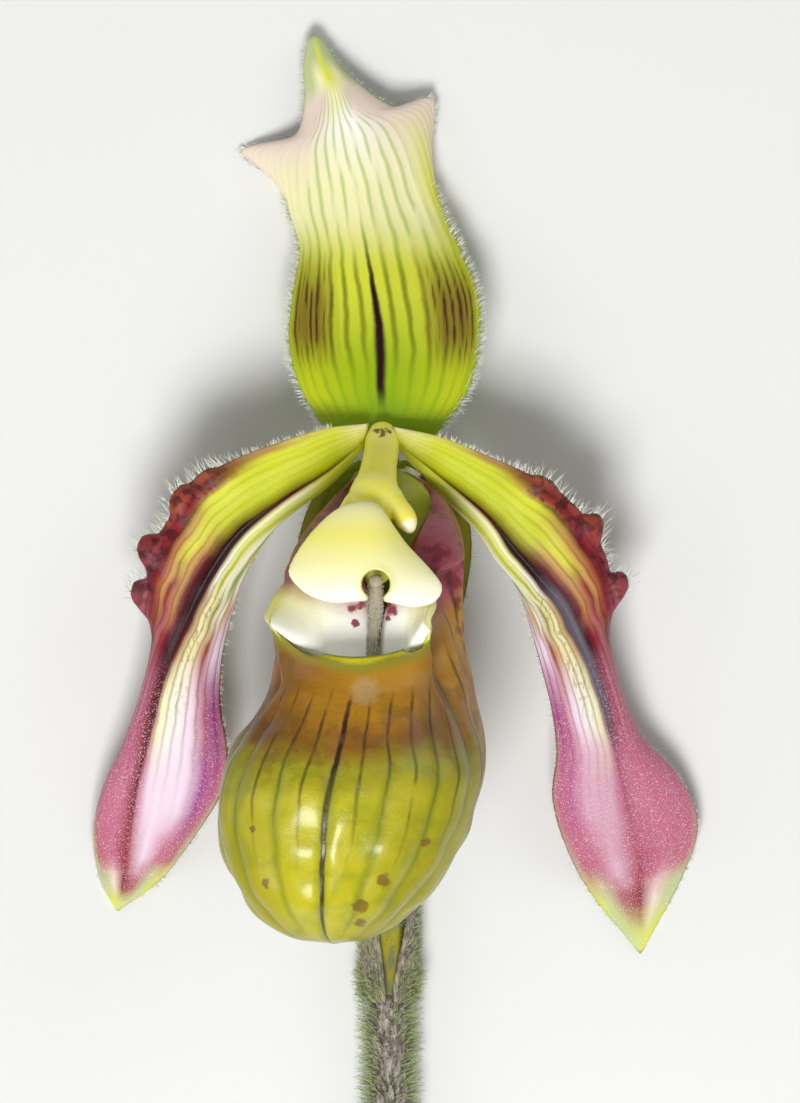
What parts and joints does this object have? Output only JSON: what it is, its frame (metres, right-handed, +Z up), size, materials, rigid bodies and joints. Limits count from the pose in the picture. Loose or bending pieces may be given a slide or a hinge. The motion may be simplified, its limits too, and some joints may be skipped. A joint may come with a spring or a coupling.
{
  "type": "slipper orchid flower",
  "caption": "Cut slipper orchid flower lying on its back, with a hooded upper sepal, lobed drooping petals, a pouch-shaped lip, a cream shield and a short hairy stem.",
  "frame": {"origin": "middle of the cut flower's outline seen from above, on the surface that it lies on", "axes": "+Z up from the surface, the way the pouch and shield face; +Y from the stem's cut end towards the dorsal sepal; +X to the right as seen from above"},
  "size_m": [0.0612, 0.1484, 0.0377],
  "materials": {
    "stem": "dull grey-green and purple-brown skin under a coat of stiff pale hairs",
    "ovary": "ribbed green skin with short pressed-down hairs",
    "bract": "grey-green papery sheath with pressed-down silky hairs",
    "dorsal_sepal": "satin ivory over yellow-green with green veins and maroon streaks, hairy margin",
    "synsepalum": "satin green with darker veins and a hairy margin",
    "petal": "satin, yellow-green and maroon veined at the base, rose-pink with a silky sheen at the end",
    "lip": "glossy waxy olive-yellow with a green net, dark veins and an orange-brown neck",
    "column": "waxy bright yellow",
    "staminode": "waxy pale cream-yellow, smooth"
  },
  "bodies": {
    "root": {"stem": "stem", "ovary": "ovary", "bract": "bract", "dorsal_sepal": "dorsal_sepal", "synsepalum": "synsepalum", "petal_left": "petal", "petal_right": "petal", "lip": "lip", "column": "column", "staminode": "staminode", "anther_left": "column", "anther_right": "column"}
  },
  "joints": []
}
